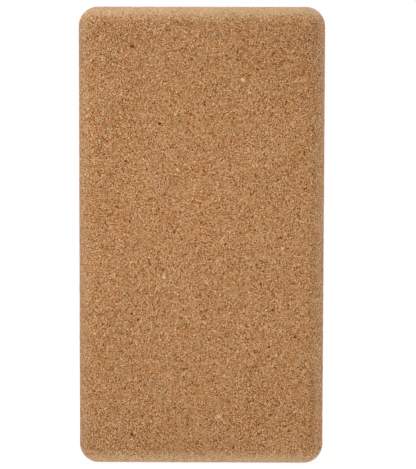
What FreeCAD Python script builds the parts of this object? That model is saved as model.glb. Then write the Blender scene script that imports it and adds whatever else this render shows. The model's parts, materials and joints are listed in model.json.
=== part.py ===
import FreeCAD
import Part
import Sketcher
import math
import os
import random

# A cork yoga block.
# One block of pressed cork granulate, rounded over on all twelve edges, carries every load.
# Its coarse granules, dark bark and pale clean cork, show one by one in its six faces. They are
# solids of their own, each bedded flush in a pocket with the granule's own outline.
# Frame: millimetres, +Z up along the block's length, the broad front face towards -Y, and the
# origin at the middle of the bottom end, on which the block stands.

PARTS_FOLDER = "parts"

# Driving dimensions, in millimetres
SIZES = {
    "block_length": 224,
    "block_width": 120,
    "block_thickness": 75,
    "edge_radius": 9.5,
    "rim_margin": 2,
    "granule_spacing": 20,
    "bark_width": 1.7,
    "bark_depth": 1.4,
    "pale_width": 1.9,
    "pale_depth": 1.1,
}

# The six faces. Each has its outward normal, the directions across it and up it, and the place
# of its middle in the sheet's values.
X_AXIS = FreeCAD.Vector(1, 0, 0)
Y_AXIS = FreeCAD.Vector(0, 1, 0)
Z_AXIS = FreeCAD.Vector(0, 0, 1)
HALF_WIDTH = "Sizes.block_width / 2"
HALF_THICKNESS = "Sizes.block_thickness / 2"
HALF_LENGTH = "Sizes.block_length / 2"
FACES = {
    "front": (-Y_AXIS, X_AXIS, Z_AXIS, {"y": "-" + HALF_THICKNESS, "z": HALF_LENGTH}),
    "back": (Y_AXIS, -X_AXIS, Z_AXIS, {"y": HALF_THICKNESS, "z": HALF_LENGTH}),
    "left": (-X_AXIS, -Y_AXIS, Z_AXIS, {"x": "-" + HALF_WIDTH, "z": HALF_LENGTH}),
    "right": (X_AXIS, Y_AXIS, Z_AXIS, {"x": HALF_WIDTH, "z": HALF_LENGTH}),
    "top_end": (Z_AXIS, X_AXIS, Y_AXIS, {"z": "Sizes.block_length"}),
    "bottom_end": (-Z_AXIS, X_AXIS, -Y_AXIS, {}),
}

# Granules of the front face, where they show in the photograph: shares of the half width and
# half height of the face's flat part, from its middle
FRONT_PLACE_SHARES = {
    "bark": [
        (-0.69, 0.92), (0.90, 0.93), (-0.10, 0.86), (0.82, 0.85), (0.66, 0.79), (-0.65, 0.74),
        (-0.92, 0.71), (-0.31, 0.59), (0.04, 0.57), (-0.42, 0.55), (-0.84, 0.49), (0.52, 0.44),
        (0.73, 0.39), (-0.76, 0.37), (0.77, 0.28), (0.49, 0.21), (-0.85, 0.15), (-0.72, 0.08),
        (-0.27, 0.03), (0.79, 0.00), (0.24, -0.03), (-0.86, -0.10), (0.38, -0.16), (-0.30, -0.22),
        (0.72, -0.35), (-0.18, -0.35), (-0.70, -0.37), (-0.63, -0.40), (0.33, -0.48), (0.94, -0.48),
        (0.68, -0.53), (-0.49, -0.61), (-0.01, -0.63), (0.49, -0.65), (-0.61, -0.70), (-0.26, -0.83),
        (-0.59, -0.87), (0.85, -0.89), (0.58, -0.91), (-0.70, -0.96), (0.35, -0.97),
    ],
    "pale": [
        (0.60, 0.94), (0.41, 0.76), (0.48, 0.70), (-0.27, 0.52), (0.65, 0.51), (0.47, 0.37),
        (-0.24, 0.33), (-0.88, 0.33), (-0.97, -0.02), (0.81, -0.05), (0.17, -0.11), (-0.37, -0.19),
        (0.40, -0.43), (-0.07, -0.47), (-0.65, -0.51), (0.75, -0.57), (0.28, -0.74), (0.95, -0.82),
        (0.18, -0.87), (-0.64, -0.91),
    ],
}

# Form of the granules and their scatter over the faces that the photograph doesn't show
OUTLINE_CORNERS = 6
CORNER_TURN_SHARE = 0.25
CORNER_REACH_SHARE = 0.3
WIDTH_SPREAD_SHARE = 0.35
KINDS_IN_TURN = ("pale", "bark", "bark")
# Steps across and up a face that spread any number of places evenly, with no rows
SCATTER_STEP_SHARES = (0.7548776662, 0.5698402910)


def make_sheet(doc):
    """The spreadsheet of driving dimensions, one alias to a row."""
    sheet = doc.addObject("Spreadsheet::Sheet", "Sizes")
    for row, (alias, value) in enumerate(SIZES.items(), start=1):
        sheet.set(f"A{row}", alias)
        sheet.set(f"B{row}", str(value))
        sheet.setAlias(f"B{row}", alias)
    doc.recompute()
    return sheet


def make_pressed_block(doc, sheet):
    """The block before its coarse granules are bedded: a pad with every edge rounded over."""
    body = doc.addObject("PartDesign::Body", "PressedBlock")
    floor = next(plane for plane in body.Origin.OriginFeatures if plane.Role == "XY_Plane")
    footprint = body.newObject("Sketcher::SketchObject", "Footprint")
    footprint.AttachmentSupport = (floor, [""])
    footprint.MapMode = "FlatFace"
    draw_middle_rectangle(footprint, sheet, "block_width", "block_thickness")

    pad = body.newObject("PartDesign::Pad", "Blank")
    pad.Profile = footprint
    pad.setExpression("Length", "Sizes.block_length")
    doc.recompute()

    round_over = body.newObject("PartDesign::Fillet", "RoundOver")
    round_over.Base = (pad, [f"Edge{n}" for n in range(1, len(pad.Shape.Edges) + 1)])
    round_over.setExpression("Radius", "Sizes.edge_radius")
    doc.recompute()
    return body


def draw_middle_rectangle(sketch, sheet, width, height):
    """A rectangle about the sketch's origin, with its two sizes bound to the sheet's aliases."""
    # How a sketch names the two ends of a line, and its own origin
    start, end = 1, 2
    origin = (-1, 1)
    half_width = getattr(sheet, width) / 2
    half_height = getattr(sheet, height) / 2
    signs = [(-1, -1), (1, -1), (1, 1), (-1, 1)]
    corners = [FreeCAD.Vector(x * half_width, y * half_height, 0) for x, y in signs]
    left, bottom, right, top = range(len(corners))
    for side in (left, bottom, right, top):
        sketch.addGeometry(Part.LineSegment(corners[side - 1], corners[side]))
    for side, following in ((left, bottom), (bottom, right), (right, top), (top, left)):
        sketch.addConstraint(Sketcher.Constraint("Coincident", side, end, following, start))
        direction = "Vertical" if side in (left, right) else "Horizontal"
        sketch.addConstraint(Sketcher.Constraint(direction, side))
    sketch.addConstraint(Sketcher.Constraint("Symmetric", left, end, right, end, *origin))
    for side, direction, size in ((bottom, "DistanceX", width), (right, "DistanceY", height)):
        distance = Sketcher.Constraint(direction, side, start, side, end, getattr(sheet, size))
        number = sketch.addConstraint(distance)
        sketch.setExpression(f"Constraints[{number}]", f"Sizes.{size}")


def flat_half(sheet, direction):
    """Half of a face's flat part along a direction, less the margin that granules keep."""
    half_sizes = FreeCAD.Vector(sheet.block_width, sheet.block_thickness, sheet.block_length) / 2
    reach = abs(half_sizes.dot(direction))
    return reach - sheet.edge_radius - sheet.rim_margin


def scattered_places(sheet, across, up):
    """Even but irregular places over a face, dealt out to bark and pale granules."""
    area = 4 * flat_half(sheet, across) * flat_half(sheet, up)
    places = {"bark": [], "pale": []}
    for number in range(1, round(area / sheet.granule_spacing**2) + 1):
        kind = KINDS_IN_TURN[number % len(KINDS_IN_TURN)]
        places[kind].append(tuple(2 * (number * step % 1) - 1 for step in SCATTER_STEP_SHARES))
    return places


def granule_outline(middle, width, chance):
    """The corners of one granule's outline: an uneven polygon about its middle."""
    corners = []
    for corner in range(OUTLINE_CORNERS):
        turn = (corner + CORNER_TURN_SHARE * chance.uniform(-1, 1)) / OUTLINE_CORNERS
        reach = width / 2 * (1 + CORNER_REACH_SHARE * chance.uniform(-1, 1))
        angle = math.tau * turn
        corners.append(middle + FreeCAD.Vector(math.cos(angle), math.sin(angle), 0) * reach)
    return corners


def make_granules(doc, sheet, face, kind, places):
    """One kind of granule in one face: a sketch of their outlines, extruded inwards."""
    outward, across, up, middle = FACES[face]
    label = f"{face}_{kind}_granules"
    outlines = doc.addObject("Sketcher::SketchObject", f"{label}_outlines")
    outlines.Placement.Rotation = FreeCAD.Rotation(across, up, outward, "XYZ")
    for axis, place in middle.items():
        outlines.setExpression(f"Placement.Base.{axis}", place)

    chance = random.Random(label)
    width = getattr(sheet, f"{kind}_width")
    sides = []
    for across_share, up_share in places:
        granule_width = width * (1 + WIDTH_SPREAD_SHARE * chance.uniform(-1, 1))
        granule_middle = FreeCAD.Vector(
            across_share * flat_half(sheet, across), up_share * flat_half(sheet, up), 0
        )
        corners = granule_outline(granule_middle, granule_width, chance)
        sides += [Part.LineSegment(corners[n - 1], corners[n]) for n in range(len(corners))]
    outlines.addGeometry(sides)

    granules = doc.addObject("Part::Extrusion", label)
    granules.Label = label
    granules.Base = outlines
    granules.DirMode = "Normal"
    granules.Reversed = True
    granules.Solid = True
    granules.setExpression("LengthFwd", f"Sizes.{kind}_depth")
    return granules


def bed_granules(doc, pressed_block, granules):
    """The cork body: the pressed block with a pocket for every granule."""
    filling = doc.addObject("Part::Compound", "Filling")
    filling.Links = granules
    cork_body = doc.addObject("Part::Cut", "cork_body")
    cork_body.Label = "cork_body"
    cork_body.Base = pressed_block
    cork_body.Tool = filling
    return cork_body


def check(doc, sub_parts):
    """Stops the build where an object failed or a sub-part isn't made of valid solids."""
    for item in doc.Objects:
        if {"Invalid", "Error"} & set(item.State):
            raise RuntimeError(f"{item.Label} failed: {item.State}")
    for item in sub_parts:
        shape = item.Shape
        if shape.isNull() or not shape.isValid() or not shape.Solids:
            raise RuntimeError(f"{item.Label} has no valid solid")


def main():
    """Builds the document and writes one file for each sub-part."""
    doc = FreeCAD.newDocument("YogaBlock")
    sheet = make_sheet(doc)
    pressed_block = make_pressed_block(doc, sheet)
    granules = []
    for face, (_, across, up, _) in FACES.items():
        places = FRONT_PLACE_SHARES if face == "front" else scattered_places(sheet, across, up)
        for kind in places:
            granules.append(make_granules(doc, sheet, face, kind, places[kind]))
    doc.recompute()
    cork_body = bed_granules(doc, pressed_block, granules)
    doc.recompute()

    sub_parts = [cork_body] + granules
    check(doc, sub_parts)
    os.makedirs(PARTS_FOLDER, exist_ok=True)
    for item in sub_parts:
        item.Shape.exportStep(os.path.join(PARTS_FOLDER, item.Label + ".step"))
        print(f"{item.Label}: {len(item.Shape.Solids)} solids, {item.Shape.Volume:.1f} mm3")


main()
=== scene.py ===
"""Looks of a cork yoga block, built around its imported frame. Lengths are in metres.

The block is pressed from fine cork granulate and sanded. Its skin is one closed mesh with the sanded
granules' relief and open pores. The coarse bark and pale granules that lie in its faces are pieces of
their own, finished from the frame's nodes.
"""

import contextlib
import json
import logging
import math
from collections.abc import Iterator
from dataclasses import dataclass, field
from enum import Enum
from typing import Any

import bpy
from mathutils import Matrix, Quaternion, Vector

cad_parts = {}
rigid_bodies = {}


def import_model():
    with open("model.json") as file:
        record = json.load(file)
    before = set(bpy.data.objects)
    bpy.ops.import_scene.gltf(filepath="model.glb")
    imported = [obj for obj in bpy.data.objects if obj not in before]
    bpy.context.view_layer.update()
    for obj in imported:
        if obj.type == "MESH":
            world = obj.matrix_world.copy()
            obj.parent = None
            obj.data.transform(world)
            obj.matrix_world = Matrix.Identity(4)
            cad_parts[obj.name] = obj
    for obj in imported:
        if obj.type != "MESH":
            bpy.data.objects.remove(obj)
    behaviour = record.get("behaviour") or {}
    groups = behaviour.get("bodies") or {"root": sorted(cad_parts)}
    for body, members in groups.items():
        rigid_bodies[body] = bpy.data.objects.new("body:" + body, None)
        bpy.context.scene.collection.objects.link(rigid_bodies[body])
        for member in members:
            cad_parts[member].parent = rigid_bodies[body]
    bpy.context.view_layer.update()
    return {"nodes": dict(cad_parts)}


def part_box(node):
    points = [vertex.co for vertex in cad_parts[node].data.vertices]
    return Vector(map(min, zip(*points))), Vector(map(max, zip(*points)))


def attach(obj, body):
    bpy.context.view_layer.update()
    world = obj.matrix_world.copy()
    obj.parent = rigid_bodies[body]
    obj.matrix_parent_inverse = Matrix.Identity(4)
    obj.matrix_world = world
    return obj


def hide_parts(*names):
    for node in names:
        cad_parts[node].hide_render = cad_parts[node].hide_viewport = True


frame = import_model()

BODY = "root"
MAP_NAME = "OFBake"
MILLIMETRE = 0.001

# Angles about the three axes by which the cork's patterns lie askew in the block
PATTERN_TURN = Vector((0.58, 0.37, 0.99))

# The photograph's longer side in pixels, and the camera sensor's in millimetres
IMAGE_LONG_SIDE = 469
SENSOR_LONG_SIDE = 36.0

log = logging.getLogger("yoga_block")

Colour = tuple[float, float, float]
Range = tuple[float, float]

WHITE: Colour = (1.0, 1.0, 1.0)


class Slot(Enum):
    """Material slots of the record."""

    CORK = "cork"
    BARK = "bark"
    PALE_CORK = "pale_cork"


class GranuleKind(Enum):
    """The two kinds of coarse granule, by the word that their nodes' names hold."""

    BARK = "bark"
    PALE = "pale"

    def nodes(self) -> list[str]:
        """The frame's nodes of this kind, in the order of their names."""
        return sorted(name for name in frame["nodes"] if name.endswith(f"{self.value}_granules"))


class Side(Enum):
    """The block's six sides, by the axis that each lies across and whether it is at its high end."""

    LEFT = (0, False)
    RIGHT = (0, True)
    FRONT = (1, False)
    BACK = (1, True)
    BOTTOM = (2, False)
    TOP = (2, True)

    @property
    def axis(self) -> int:
        """The number of the axis that the side lies across."""
        return self.value[0]


def opaque(colour: Colour) -> tuple[float, float, float, float]:
    """The colour with full alpha, as colour sockets take it."""
    return (*colour, 1.0)


def select_only(piece: bpy.types.Object) -> None:
    """Deselects everything and makes one piece selected and active.

    Args:
        piece: the object to select.
    """
    bpy.ops.object.select_all(action="DESELECT")
    piece.select_set(True)
    bpy.context.view_layer.objects.active = piece


@contextlib.contextmanager
def edit_mode(piece: bpy.types.Object, select: str = "FACE") -> Iterator[None]:
    """Opens one piece in edit mode with all of it selected, and closes it again.

    Args:
        piece: the mesh object to edit.
        select: the kind of element that selections are made of, VERT, EDGE or FACE.
    """
    select_only(piece)
    bpy.ops.object.mode_set(mode="EDIT")
    bpy.ops.mesh.select_mode(type=select)
    bpy.ops.mesh.select_all(action="SELECT")
    yield
    bpy.ops.object.mode_set(mode="OBJECT")


def apply_modifier(piece: bpy.types.Object, kind: str, **settings: Any) -> None:
    """Adds one modifier to a piece and applies it.

    Args:
        piece: the mesh object to change.
        kind: the modifier's type.
        settings: the modifier's properties.
    """
    select_only(piece)
    modifier = piece.modifiers.new(kind.lower(), kind)
    for name, value in settings.items():
        setattr(modifier, name, value)
    bpy.ops.object.modifier_apply(modifier=modifier.name)


def shade_smooth(piece: bpy.types.Object) -> None:
    """Lets light run smoothly over all faces of a piece."""
    select_only(piece)
    bpy.ops.object.shade_smooth()


def finish_piece(piece: bpy.types.Object, node: str, material: bpy.types.Material) -> None:
    """Gives a piece its material and its place in the frame, where it stands for one node.

    Args:
        piece: the finished mesh object.
        node: the frame's node that the piece replaces.
        material: its material.
    """
    piece.data.materials.clear()
    piece.data.materials.append(material)
    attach(piece, BODY)
    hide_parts(node)
    log.info("%s: %d faces", piece.name, len(piece.data.polygons))


class Socket:
    """A node's output. Arithmetic on it adds Math nodes to its tree."""

    def __init__(self, sheet: "NodeSheet", output: bpy.types.NodeSocket) -> None:
        """Keeps the output and the sheet that it belongs to."""
        self.sheet = sheet
        self.output = output

    def math(self, operation: str, left: "Value", right: "Value" = 0.0) -> "Socket":
        """One Math node on two values."""
        return self.sheet.node("ShaderNodeMath", {"operation": operation}, {0: left, 1: right})["Value"]

    def __add__(self, other: "Value") -> "Socket":
        """self + other"""
        return self.math("ADD", self, other)

    def __sub__(self, other: "Value") -> "Socket":
        """self - other"""
        return self.math("SUBTRACT", self, other)

    def __rsub__(self, other: "Value") -> "Socket":
        """other - self"""
        return self.math("SUBTRACT", other, self)

    def __mul__(self, other: "Value") -> "Socket":
        """self * other"""
        return self.math("MULTIPLY", self, other)

    def __lt__(self, other: "Value") -> "Socket":
        """1 where self is less than other, and 0 elsewhere"""
        return self.math("LESS_THAN", self, other)

    def __gt__(self, other: "Value") -> "Socket":
        """1 where self is greater than other, and 0 elsewhere"""
        return self.math("GREATER_THAN", self, other)

    __radd__ = __add__
    __rmul__ = __mul__

    @property
    def swing(self) -> "Socket":
        """How far self lies above 0.5, the middle of random values, or below it."""
        return self - 0.5

    def at_most(self, other: "Value") -> "Socket":
        """The lesser of self and other."""
        return self.math("MINIMUM", self, other)

    def at_least(self, other: "Value") -> "Socket":
        """The greater of self and other."""
        return self.math("MAXIMUM", self, other)

    def scaled(self, low: float, high: float) -> "Socket":
        """low where self is 0, high where it is 1, and in proportion between them."""
        return low + (high - low) * self

    def between(self, low: float, high: float) -> "Socket":
        """A smooth step.

        Args:
            low: the value up to which the step is 0.
            high: the value from which it is 1.

        Returns:
            The step.
        """
        settings = {"interpolation_type": "SMOOTHSTEP"}
        inputs = {"Value": self, "From Min": low, "From Max": high}
        return self.sheet.node("ShaderNodeMapRange", settings, inputs)["Result"]


Value = Socket | float


class NodeSheet:
    """A node tree that is written from left to right."""

    def __init__(self, tree: bpy.types.NodeTree) -> None:
        """Empties the tree."""
        self.tree = tree
        tree.nodes.clear()

    def node(self, kind: str, settings: dict[str, Any], inputs: dict[str | int, Any]) -> dict[str, Socket]:
        """Adds one node.

        Args:
            kind: the node's type.
            settings: its properties, set first. "stops" gives a ramp's positions and colours.
            inputs: the values or links of its sockets, by name or number.

        Returns:
            Its outputs in use, by name.
        """
        node = self.tree.nodes.new(kind)
        for name, value in settings.items():
            if name == "stops":
                self._set_stops(node.color_ramp, value)
            else:
                setattr(node, name, value)
        for key, value in inputs.items():
            socket = self._input(node, key)
            if isinstance(value, Socket):
                self.tree.links.new(value.output, socket)
            else:
                socket.default_value = value
        return {output.name: Socket(self, output) for output in node.outputs if output.enabled}

    @staticmethod
    def _input(node: bpy.types.Node, key: str | int) -> bpy.types.NodeSocket:
        """Finds one input of a node.

        Args:
            node: the node.
            key: the input's number, or its name among the inputs in use.

        Returns:
            The input.
        """
        if isinstance(key, int):
            return node.inputs[key]
        return next(socket for socket in node.inputs if socket.enabled and socket.name == key)

    @staticmethod
    def _set_stops(ramp: bpy.types.ColorRamp, stops: tuple[tuple[float, Colour], ...]) -> None:
        """Replaces a ramp's stops.

        Args:
            ramp: the ramp.
            stops: the new stops' positions, in rising order, and colours.
        """
        while len(ramp.elements) > 1:
            ramp.elements.remove(ramp.elements[-1])
        first, *others = stops
        ramp.elements[0].position, ramp.elements[0].color = first[0], opaque(first[1])
        for position, colour in others:
            ramp.elements.new(position).color = opaque(colour)

    def mix(self, factor: Value, below: Any, above: Any, blend: str = "MIX") -> Socket:
        """A colour between two, by a factor.

        Args:
            factor: how much of the upper colour shows.
            below: the lower colour.
            above: the upper colour.
            blend: the way of mixing.

        Returns:
            The mixed colour.
        """
        settings = {"data_type": "RGBA", "blend_type": blend}
        inputs: dict[str | int, Any] = {"Factor": factor}
        for name, colour in (("A", below), ("B", above)):
            inputs[name] = opaque(colour) if isinstance(colour, tuple) else colour
        return self.node("ShaderNodeMix", settings, inputs)["Result"]

    def vector(self, operation: str, *inputs: Any) -> dict[str, Socket]:
        """One Vector Math node, by its operation and its inputs in order."""
        return self.node("ShaderNodeVectorMath", {"operation": operation}, dict(enumerate(inputs)))

    def place(self) -> Socket:
        """The point of the piece, in its own coordinates."""
        return self.node("ShaderNodeTexCoord", {}, {})["Object"]

    def turned(self, place: Socket) -> Socket:
        """The point turned askew, so that no face cuts a pattern's cells along their rows."""
        return self.node("ShaderNodeMapping", {}, {"Vector": place, "Rotation": PATTERN_TURN})["Vector"]

    def cells(self, place: Socket, width: float) -> dict[str, Socket]:
        """Random cells in space, each with a colour of its own.

        Args:
            place: the point.
            width: about how wide a cell is.

        Returns:
            The cells' Distance, Color and Position.
        """
        inputs = {"Vector": place, "Scale": 1 / width}
        return self.node("ShaderNodeTexVoronoi", {"voronoi_dimensions": "3D"}, inputs)

    def noise(self, place: Socket, width: float, detail: float) -> tuple[Socket, Socket]:
        """Soft noise about 0.5.

        Args:
            place: the point.
            width: about how wide a cloud is.
            detail: how many finer layers it has.

        Returns:
            The noise as a value, and as a colour with three noises of its own.
        """
        inputs = {"Vector": place, "Scale": 1 / width, "Detail": detail}
        value, colour = self.node("ShaderNodeTexNoise", {}, inputs).values()
        return value, colour

    def parts(self, colour: Socket) -> tuple[Socket, Socket, Socket]:
        """The three channels of a colour."""
        channels = self.node("ShaderNodeSeparateColor", {}, {"Color": colour})
        return channels["Red"], channels["Green"], channels["Blue"]

    def surface(
        self, colour: Socket, roughness: Socket, relief: Socket, height: float, constants: dict[str, float]
    ) -> None:
        """Ends a material with one surface.

        Args:
            colour: its colour.
            roughness: its roughness.
            relief: its relief, which the light follows.
            height: how high a relief of 1 stands.
            constants: the shader's other values, by the names of their sockets.
        """
        bump = self.node("ShaderNodeBump", {}, {"Distance": height, "Height": relief})
        inputs = {"Base Color": colour, "Roughness": roughness, "Normal": bump["Normal"], **constants}
        shader = self.node("ShaderNodeBsdfPrincipled", {}, inputs)
        self.node("ShaderNodeOutputMaterial", {}, {"Surface": shader["BSDF"]})


def new_material(name: str) -> tuple[bpy.types.Material, NodeSheet]:
    """Makes an empty node material.

    Args:
        name: the material's name.

    Returns:
        The material, and the sheet to write it on.
    """
    material = bpy.data.materials.new(name)
    material.use_nodes = True
    return material, NodeSheet(material.node_tree)


@dataclass(frozen=True)
class RoundedBlock:
    """A box with one radius on all its edges, as the block is sanded."""

    low: Vector
    high: Vector
    edge_radius: float

    @property
    def middle(self) -> Vector:
        """The middle of the box."""
        return (self.low + self.high) / 2

    @property
    def size(self) -> Vector:
        """The three sizes of the box."""
        return self.high - self.low

    @property
    def core(self) -> Vector:
        """Half the sizes of the box inside, from which the edge radius reaches to the surface."""
        return self.size / 2 - Vector((self.edge_radius,) * 3)

    def side_of(self, place: Vector) -> Side:
        """Finds the side of the block that a point belongs to.

        Args:
            place: a point on the surface.

        Returns:
            The side.
        """
        offset = place - self.middle
        past_core = [abs(offset[axis]) - self.core[axis] for axis in range(3)]
        axis = past_core.index(max(past_core))
        return Side((axis, offset[axis] > 0))

    def measure(self, sheet: NodeSheet, place: Socket) -> tuple[Socket, Socket, Socket]:
        """Where a point lies on the block, for a material.

        Args:
            sheet: the material's sheet.
            place: the point, in the frame's coordinates.

        Returns:
            Its depth below the sanded surface; how far round an edge it is, from 0 on the flat faces to
            1 in the middle of an edge; and how far it faces up or down, from 0 on the sides to 1 on the
            ends.
        """
        offset = sheet.vector("SUBTRACT", place, self.middle)["Vector"]
        distance = sheet.vector("ABSOLUTE", offset)["Vector"]
        past_core = sheet.vector("SUBTRACT", distance, self.core)["Vector"]
        lean = sheet.vector("MAXIMUM", past_core, Vector())["Vector"]
        depth = self.edge_radius - sheet.vector("LENGTH", lean)["Value"]

        direction = sheet.vector("NORMALIZE", lean)["Vector"]
        shares = sheet.node("ShaderNodeSeparateXYZ", {}, {0: direction})
        steepest = shares["X"].at_least(shares["Y"]).at_least(shares["Z"])
        roundness = (1 - steepest).between(0.0, 1 - math.sqrt(0.5))
        return depth, roundness, shares["Z"]


@dataclass(frozen=True)
class Flecks:
    """Loose flecks in the granulate, at most one in each random cell.

    The spacing is the cells' width, and the share is how many of them have a fleck. The edge is where a
    fleck fades out, before and past its own reach, in shares of the greatest reach.
    """

    spacing: float
    width: float
    share: float
    tone: Colour
    least_width_share: float = 0.4
    least_strength: float = 0.85
    edge: Range = (-0.3, 0.1)

    def laid_on(self, sheet: NodeSheet, place: Socket, colour: Socket) -> Socket:
        """Lays the flecks over a colour.

        Args:
            sheet: the material's sheet.
            place: the point.
            colour: the colour below.

        Returns:
            The colour with its flecks.
        """
        cells = sheet.cells(place, self.spacing)
        chance, breadth, strength = sheet.parts(cells["Color"])
        reach = self.width / self.spacing / 2
        past_edge = cells["Distance"] - reach * breadth.scaled(self.least_width_share, 1.0)
        inner, outer = self.edge
        mask = (1 - past_edge.between(inner * reach, outer * reach)) * (chance < self.share)
        return sheet.mix(mask * strength.scaled(self.least_strength, 1.0), colour, self.tone)


@dataclass(frozen=True)
class CorkFinish:
    """Fine pressed cork granulate, sanded: grains of many browns, bark flecks, pale chips, pores with
    painted shade, and edges and ends made paler partly by wear and partly by painted sheen.
    """

    # Widths of the granules, of the finer grains and dust in them, and of patches of one hue or tone
    granule_width: float = 0.60 * MILLIMETRE
    grain_width: float = 0.34 * MILLIMETRE
    dust_width: float = 0.22 * MILLIMETRE
    hue_width: float = 1.0 * MILLIMETRE
    clump_width: float = 2.8 * MILLIMETRE
    mottle_width: float = 26 * MILLIMETRE
    mottle_detail: int = 3

    # The noise by which the grains' edges stray
    ragged_width: float = 0.5 * MILLIMETRE
    ragged_detail: int = 2
    ragged_reach: float = 0.18 * MILLIMETRE

    # The weight of each layer in the tone. A granule is lighter up to joint_middle of its width from its
    # middle, and darker from there on, towards its joints with others.
    middle_level: float = 0.527
    grain_weight: float = 0.60
    dust_weight: float = 0.30
    joint_weight: float = 0.70
    joint_middle: float = 0.45
    clump_weight: float = 0.03
    mottle_weight: float = 0.085

    # Clumps of cleaner cork, whose grains differ less, and clumps with red grains
    clean_share: float = 0.30
    clean_calm: float = 0.30
    red_limit: float = 0.55

    # Browns from the darkest tone to the lightest, and what tints them
    grain_tones: tuple[tuple[float, Colour], ...] = (
        (0.00, (0.096, 0.011, 0.001)),
        (0.20, (0.210, 0.065, 0.007)),
        (0.35, (0.312, 0.129, 0.032)),
        (0.50, (0.426, 0.208, 0.072)),
        (0.65, (0.536, 0.300, 0.127)),
        (0.80, (0.640, 0.408, 0.214)),
        (1.00, (0.775, 0.568, 0.360)),
    )
    ruddy_tint: Colour = (1.056, 0.980, 0.950)
    straw_tint: Colour = (0.958, 1.056, 1.240)
    red_tint: Colour = (1.05, 0.87, 0.74)
    dark_flecks: Flecks = Flecks(
        spacing=1.6 * MILLIMETRE, width=0.88 * MILLIMETRE, share=0.6, tone=(0.088, 0.012, 0.001)
    )
    pale_flecks: Flecks = Flecks(
        spacing=1.8 * MILLIMETRE, width=0.84 * MILLIMETRE, share=0.5, tone=(0.765, 0.560, 0.355)
    )

    # Paler edges and ends, partly wear and partly painted sheen: all edges are a little paler, and the rims
    # of the ends are painted paler still, as light from above and from the floor grazes them. Over the
    # first range, as the surface turns from a side to an end, the ends' painted sheen sets in, and over the
    # second range, on the flat of the ends, it is lessened by the loss.
    sheen_and_wear_tone: Colour = (0.740, 0.590, 0.375)
    end_sheen_and_wear: float = 0.24
    edge_sheen_and_wear: float = 0.05
    end_sheen_range: Range = (0.0, 0.95)
    flat_range: Range = (0.96, 1.0)
    flat_loss: float = 0.15
    sheen_and_wear_spread: Range = (0.5, 1.5)

    # Painted shade in the pores, which darkens from a share of their depth to their floor
    pore_shade_tone: Colour = (0.150, 0.043, 0.009)
    pore_shade_strength: float = 0.8
    pore_shade_start_share: float = 0.5

    bump_height: float = 0.10 * MILLIMETRE
    roughness: Range = (0.62, 0.82)
    specular: float = 0.06
    sheen: float = 0.12
    sheen_roughness: float = 0.5

    def material(self, name: str, block: RoundedBlock, pore_depth: float) -> bpy.types.Material:
        """The finish as a node material.

        Args:
            name: the material's name.
            block: the block, from which the pores' painted shade and the edges' and ends' wear and painted
                sheen are measured.
            pore_depth: how deep the pores are.

        Returns:
            The material.
        """
        material, sheet = new_material(name)
        own_place = sheet.place()
        place = sheet.turned(own_place)
        ragged = self._ragged(sheet, place)
        grain_tone, grain_gloss, grain_red = sheet.parts(sheet.cells(ragged, self.grain_width)["Color"])
        clump_tone, clump_red, clump_clean = sheet.parts(sheet.cells(ragged, self.clump_width)["Color"])

        grains = self._grains(sheet, place, grain_tone)
        calmed = grains * (1 - self.clean_calm * (clump_clean > 1 - self.clean_share))
        mottle, _ = sheet.noise(place, self.mottle_width, self.mottle_detail)
        drift = clump_tone.swing * self.clump_weight + mottle.swing * self.mottle_weight
        level = self.middle_level + calmed + drift
        browns = sheet.node("ShaderNodeValToRGB", {"stops": self.grain_tones}, {"Fac": level})["Color"]
        hue, _, _ = sheet.parts(sheet.cells(ragged, self.hue_width)["Color"])
        tint = sheet.mix(hue, self.ruddy_tint, self.straw_tint)
        tinted = sheet.mix(1.0, browns, tint, "MULTIPLY")
        reddened = sheet.mix((clump_red * grain_red) > self.red_limit, tinted, self.red_tint, "MULTIPLY")
        flecked = self.dark_flecks.laid_on(sheet, ragged, reddened)
        chipped = self.pale_flecks.laid_on(sheet, ragged, flecked)

        depth, roundness, endness = block.measure(sheet, own_place)
        # Painted sheen with some wear: the edges, and most of all the rims of the ends, are painted paler,
        # as grazing light from above and from the floor would make them.
        end_sheen = endness.between(*self.end_sheen_range) * (1 - self.flat_loss * endness.between(*self.flat_range))
        sheen_and_wear = (end_sheen * self.end_sheen_and_wear + roundness * self.edge_sheen_and_wear) * grain_gloss.scaled(*self.sheen_and_wear_spread)
        sheened_and_worn = sheet.mix(sheen_and_wear, chipped, self.sheen_and_wear_tone)
        # Painted shade: the pores are painted darker towards their floors.
        pore_shade = depth.between(self.pore_shade_start_share * pore_depth, pore_depth)
        colour = sheet.mix(pore_shade * self.pore_shade_strength, sheened_and_worn, self.pore_shade_tone)

        constants = {
            "Specular IOR Level": self.specular,
            "Sheen Weight": self.sheen,
            "Sheen Roughness": self.sheen_roughness,
        }
        sheet.surface(colour, grain_gloss.scaled(*self.roughness), grains, self.bump_height, constants)
        return material

    def _ragged(self, sheet: NodeSheet, place: Socket) -> Socket:
        """Shifts a point about at random, so that grains have ragged edges.

        Args:
            sheet: the material's sheet.
            place: the point.

        Returns:
            The shifted point.
        """
        _, shift = sheet.noise(place, self.ragged_width, self.ragged_detail)
        reach = Vector((self.ragged_reach,) * 3)
        return sheet.vector("MULTIPLY_ADD", shift, reach, place)["Vector"]

    def _grains(self, sheet: NodeSheet, place: Socket, grain_tone: Socket) -> Socket:
        """The fine structure: grains and dust of many tones, and joints that are darker and lower.

        Args:
            sheet: the material's sheet.
            place: the point.
            grain_tone: the random tone of the grain there.

        Returns:
            How much lighter than the middle tone the point is, or darker where it is below 0.
        """
        dust_tone, _, _ = sheet.parts(sheet.cells(place, self.dust_width)["Color"])
        joint = sheet.cells(place, self.granule_width)["Distance"] - self.joint_middle
        lights = grain_tone.swing * self.grain_weight + dust_tone.swing * self.dust_weight
        return lights - joint * self.joint_weight


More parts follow.
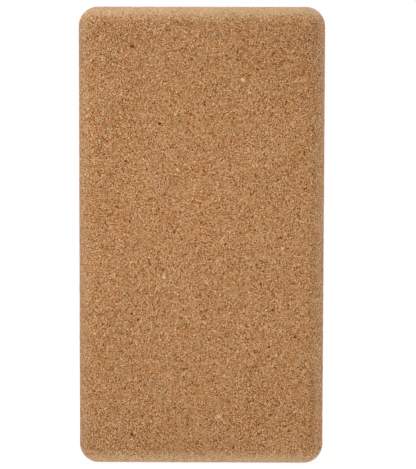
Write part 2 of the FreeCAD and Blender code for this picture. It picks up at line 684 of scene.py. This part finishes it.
@dataclass(frozen=True)
class GranuleFinish:
    """One coarse granule's own cork: streaked, and each granule a little different in tone."""

    slot: Slot
    dark: Colour
    light: Colour
    streak_width: float = 0.35 * MILLIMETRE
    streak_detail: int = 4
    streak_weight: float = 0.5
    granule_spacing: float = 6 * MILLIMETRE
    granule_weight: float = 0.9
    darkening: float = 0.2
    tone_range: Range = (0.1, 0.9)
    bump_height: float = 0.08 * MILLIMETRE
    roughness: Range = (0.6, 0.85)
    specular: float = 0.1

    def material(self, name: str) -> bpy.types.Material:
        """The finish as a node material.

        Args:
            name: the material's name.

        Returns:
            The material.
        """
        material, sheet = new_material(name)
        place = sheet.turned(sheet.place())
        own_tone, _, _ = sheet.parts(sheet.cells(place, self.granule_spacing)["Color"])
        streak, _ = sheet.noise(place, self.streak_width, self.streak_detail)
        level = streak * self.streak_weight + own_tone * self.granule_weight - self.darkening
        colour = sheet.mix(level.between(*self.tone_range), self.dark, self.light)
        constants = {"Specular IOR Level": self.specular}
        sheet.surface(colour, streak.scaled(*self.roughness), streak, self.bump_height, constants)
        return material


GRANULE_FINISHES = {
    GranuleKind.BARK: GranuleFinish(
        Slot.BARK, dark=(0.072, 0.022, 0.005), light=(0.240, 0.085, 0.025)
    ),
    GranuleKind.PALE: GranuleFinish(
        Slot.PALE_CORK, dark=(0.470, 0.270, 0.125), light=(0.680, 0.450, 0.255)
    ),
}


@dataclass
class CorkBody:
    """The pressed body: a sanded block with the relief of its granules and open pores."""

    node: str = "cork_body"
    edge_radius: float = 9.5 * MILLIMETRE
    edge_segments: int = 24

    # The skin's mesh, irregular by a share of its step, and its relief about a level a little sunk
    mesh_step: float = 1.06 * MILLIMETRE
    jitter_share: float = 0.33
    relief: float = 0.06 * MILLIMETRE
    sunk: float = 0.09 * MILLIMETRE

    # The share of the skin's faces that are pores, and the pores' walls and depth
    pore_share: float = 0.01
    pore_wall: float = 0.25 * MILLIMETRE
    pore_depth: float = 0.36 * MILLIMETRE

    seed: int = 11
    finish: CorkFinish = field(default_factory=CorkFinish)

    @property
    def block(self) -> RoundedBlock:
        """The block's outline, from the frame."""
        return RoundedBlock(*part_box(self.node), self.edge_radius)

    def build(self) -> bpy.types.Object:
        """Models the body's skin.

        Returns:
            The modelled piece.
        """
        mould = self._mould()
        skin = self._granular_skin(mould)
        bpy.data.objects.remove(mould)
        self._open_pores(skin)
        self._lay_out(skin)
        shade_smooth(skin)
        return skin

    def dress(self, skin: bpy.types.Object) -> None:
        """Gives the skin its finish and its place in the frame."""
        material = self.finish.material("pressed_cork", self.block, self.pore_depth)
        finish_piece(skin, self.node, material)

    def _mould(self) -> bpy.types.Object:
        """Models the exact sanded block, to which the skin is drawn.

        Returns:
            The mould.
        """
        block = self.block
        bpy.ops.object.select_all(action="DESELECT")
        bpy.ops.mesh.primitive_cube_add(size=1, location=block.middle, scale=block.size)
        mould = bpy.context.active_object
        bpy.ops.object.transform_apply(location=True, rotation=True, scale=True)
        with edit_mode(mould, "EDGE"):
            bpy.ops.mesh.bevel(offset=self.edge_radius, segments=self.edge_segments, affect="EDGES")
        return mould

    def _granular_skin(self, mould: bpy.types.Object) -> bpy.types.Object:
        """Models a closed fine mesh on the mould, uneven like sanded granules and nowhere outside it.

        Args:
            mould: the exact sanded block.

        Returns:
            The skin.
        """
        select_only(mould)
        bpy.ops.object.duplicate()
        skin = bpy.context.active_object
        skin.name = skin.data.name = "cork_skin"
        apply_modifier(skin, "REMESH", mode="VOXEL", voxel_size=self.mesh_step)
        with edit_mode(skin, "VERT"):
            bpy.ops.transform.vertex_random(offset=self.jitter_share * self.mesh_step, seed=self.seed)
        apply_modifier(skin, "SHRINKWRAP", target=mould, wrap_method="NEAREST_SURFACEPOINT")
        with edit_mode(skin, "VERT"):
            bpy.ops.transform.shrink_fatten(value=-self.sunk)
            bpy.ops.transform.vertex_random(offset=self.relief, normal=1, seed=self.seed + 1)
        return skin

    def _open_pores(self, skin: bpy.types.Object) -> None:
        """Sinks a random few of the skin's faces as pores.

        Args:
            skin: the skin.
        """
        with edit_mode(skin):
            bpy.ops.mesh.select_all(action="DESELECT")
            bpy.ops.mesh.select_random(ratio=self.pore_share, seed=self.seed)
            bpy.ops.mesh.inset(thickness=self.pore_wall, depth=-self.pore_depth, use_individual=True)

    def _lay_out(self, skin: bpy.types.Object) -> None:
        """Maps the skin for its textures, with each side of the block and its pores as one flat sheet.

        Args:
            skin: the finished skin.
        """
        block = self.block
        width, thickness, length = block.size
        sheet_corners = {
            Side.LEFT: (2 * width, 0.0),
            Side.RIGHT: (2 * width + thickness, 0.0),
            Side.FRONT: (0.0, 0.0),
            Side.BACK: (width, 0.0),
            Side.BOTTOM: (0.0, length),
            Side.TOP: (width, length),
        }
        map_width = 2 * (width + thickness)
        map_height = length + thickness
        layer = skin.data.uv_layers.new(name=MAP_NAME)
        for face in skin.data.polygons:
            side = block.side_of(face.center)
            left, bottom = sheet_corners[side]
            for corner in face.loop_indices:
                place = skin.data.vertices[skin.data.loops[corner].vertex_index].co - block.low
                across, up = (place[axis] for axis in range(3) if axis != side.axis)
                layer.uv[corner].vector = ((left + across) / map_width, (bottom + up) / map_height)


@dataclass
class CoarseGranules:
    """The coarse granules of one kind in one face, from their node."""

    node: str
    merge_distance: float = 0.001 * MILLIMETRE
    flat_angle: float = math.radians(1)
    rim: float = 0.22 * MILLIMETRE
    sunk: float = 0.06 * MILLIMETRE
    unevenness: float = 0.05 * MILLIMETRE
    seed: int = 5

    def build(self) -> bpy.types.Object:
        """Models the granules as chips with softened rims.

        Returns:
            The modelled piece.
        """
        piece = bpy.data.objects.new(f"{self.node}_chips", frame["nodes"][self.node].data.copy())
        bpy.context.scene.collection.objects.link(piece)
        with edit_mode(piece):
            bpy.ops.mesh.remove_doubles(threshold=self.merge_distance)
            bpy.ops.mesh.dissolve_limited(angle_limit=self.flat_angle)
        with edit_mode(piece, "EDGE"):
            bpy.ops.mesh.bevel(offset=self.rim, affect="EDGES")
            bpy.ops.mesh.quads_convert_to_tris()
        with edit_mode(piece, "VERT"):
            bpy.ops.transform.shrink_fatten(value=-self.sunk)
            bpy.ops.transform.vertex_random(offset=self.unevenness, seed=self.seed)
        shade_smooth(piece)
        return piece

    def dress(self, piece: bpy.types.Object, slot: Slot, material: bpy.types.Material) -> None:
        """Gives the chips their finish and their place in the frame."""
        finish_piece(piece, self.node, material)


@dataclass(frozen=True)
class Lamp:
    """One soft studio lamp: a square panel with a beam of some angle, aimed at the block or near it."""

    name: str
    place: Vector
    width: float
    power: float
    beam: float = math.pi
    aim_shift: tuple[float, float, float] = (0.0, 0.0, 0.0)

    def build(self, middle: Vector) -> None:
        """Adds the lamp.

        Args:
            middle: the middle of the block.
        """
        bpy.ops.object.light_add(type="AREA", location=self.place)
        lamp = bpy.context.active_object
        lamp.name = self.name
        lamp.data.size = self.width
        lamp.data.spread = self.beam
        lamp.data.energy = self.power
        lamp.visible_camera = False
        lamp.rotation_mode = "QUATERNION"
        aim = middle + Vector(self.aim_shift)
        lamp.rotation_quaternion = (aim - self.place).to_track_quat("-Z", "Y")


@dataclass
class Studio:
    """A white room with soft lamps, a pale floor and the camera."""

    middle: Vector
    room_light: float = 0.17

    # The floor lights the block evenly by its glow and takes shadows on its tone. It is seen as mostly
    # white near the block, and as all white beyond shadow_reach.
    floor_width: float = 8.0
    floor_tone: Colour = (0.30, 0.30, 0.30)
    floor_glow: float = 0.90
    floor_white_share: float = 0.60
    floor_near_white: float = 0.95
    shadow_reach: Range = (0.15, 0.45)

    # The camera, estimated from the block's outline in the photograph
    camera_distance: float = 0.9
    camera_yaw: float = math.radians(0.68)
    camera_pitch: float = math.radians(4.05)
    camera_roll: float = math.radians(0.125)
    focal_pixels: float = 1778.0
    aim_right: float = 2.93 * MILLIMETRE
    aim_down: float = 1.03 * MILLIMETRE

    lamps: tuple[Lamp, ...] = (
        Lamp(
            "key_lamp",
            Vector((-0.50, -1.10, 0.65)),
            width=0.25,
            power=0.146,
            beam=math.radians(20),
            aim_shift=(-0.01, 0.0, 0.0),
        ),
        Lamp("side_lamp", Vector((0.85, 0.45, 0.35)), width=0.5, power=0.76, beam=math.radians(60)),
        Lamp("back_lamp", Vector((-0.75, 0.90, 0.45)), width=0.6, power=0.45, beam=math.radians(60)),
        Lamp("top_lamp", Vector((-0.10, -0.05, 1.20)), width=0.8, power=10.0),
    )

    def build(self) -> None:
        """Adds the room, the floor, the lamps and the camera."""
        bpy.context.scene.view_settings.view_transform = "Standard"
        self._world()
        self._floor()
        for lamp in self.lamps:
            lamp.build(self.middle)
        self._camera()

    @staticmethod
    def _seen(sheet: NodeSheet) -> Socket:
        """Tells the rays that show the room itself from those that light the block.

        Args:
            sheet: the sheet of the room's or the floor's nodes.

        Returns:
            1 for rays that show the room, and 0 for the others.
        """
        ray = sheet.node("ShaderNodeLightPath", {}, {})
        shown = ray["Is Camera Ray"] + ray["Is Glossy Ray"] + ray["Is Transmission Ray"]
        return shown.at_most(1.0)

    def _world(self) -> None:
        """Adds even white light from all round, which is plain white where it is seen."""
        world = bpy.data.worlds.new("white_room")
        bpy.context.scene.world = world
        world.use_nodes = True
        sheet = NodeSheet(world.node_tree)
        strength = self._seen(sheet).scaled(self.room_light, 1.0)
        room = sheet.node("ShaderNodeBackground", {}, {"Color": opaque(WHITE), "Strength": strength})
        sheet.node("ShaderNodeOutputWorld", {}, {"Surface": room["Background"]})

    def _floor(self) -> None:
        """Adds a pale floor that looks white and still takes the block's shadow."""
        bpy.ops.mesh.primitive_plane_add(size=self.floor_width)
        floor = bpy.context.active_object
        floor.name = "floor"
        material, sheet = new_material("pale_floor")
        matt = sheet.node("ShaderNodeBsdfDiffuse", {}, {"Color": opaque(self.floor_tone)})
        glow = sheet.node("ShaderNodeEmission", {}, {"Strength": self.floor_glow})
        table = sheet.node("ShaderNodeAddShader", {}, {0: matt["BSDF"], 1: glow["Emission"]})
        away = sheet.vector("LENGTH", sheet.place())["Value"].between(*self.shadow_reach)
        white = sheet.node("ShaderNodeEmission", {}, {"Strength": away.scaled(self.floor_near_white, 1.0)})
        share = self._seen(sheet) * away.scaled(self.floor_white_share, 1.0)
        both = sheet.node("ShaderNodeMixShader", {}, {0: share, 1: table["Shader"], 2: white["Emission"]})
        sheet.node("ShaderNodeOutputMaterial", {}, {"Surface": both["Shader"]})
        floor.data.materials.append(material)

    def _camera(self) -> None:
        """Adds the camera, at the photograph's viewing angle."""
        yaw, pitch = self.camera_yaw, self.camera_pitch
        back = Vector((math.sin(yaw) * math.cos(pitch), -math.cos(yaw) * math.cos(pitch), math.sin(pitch)))
        eye = self.middle + back * self.camera_distance
        aim = self.middle + Vector((self.aim_right, 0, -self.aim_down))
        turn = (aim - eye).to_track_quat("-Z", "Y") @ Quaternion((0, 0, 1), self.camera_roll)
        bpy.ops.object.camera_add(location=eye)
        camera = bpy.context.active_object
        camera.name = "camera"
        camera.rotation_mode = "QUATERNION"
        camera.rotation_quaternion = turn
        camera.data.sensor_width = SENSOR_LONG_SIDE
        camera.data.lens = self.focal_pixels * SENSOR_LONG_SIDE / IMAGE_LONG_SIDE
        bpy.context.scene.camera = camera


def main() -> None:
    """Builds the block's pieces and the studio round them."""
    logging.basicConfig(level=logging.INFO, format="%(message)s")
    body = CorkBody()
    body.dress(body.build())
    for kind, finish in GRANULE_FINISHES.items():
        material = finish.material(f"{kind.value}_granule")
        for node in kind.nodes():
            granules = CoarseGranules(node)
            granules.dress(granules.build(), finish.slot, material)
    Studio(body.block.middle).build()


if __name__ == "__main__":
    main()
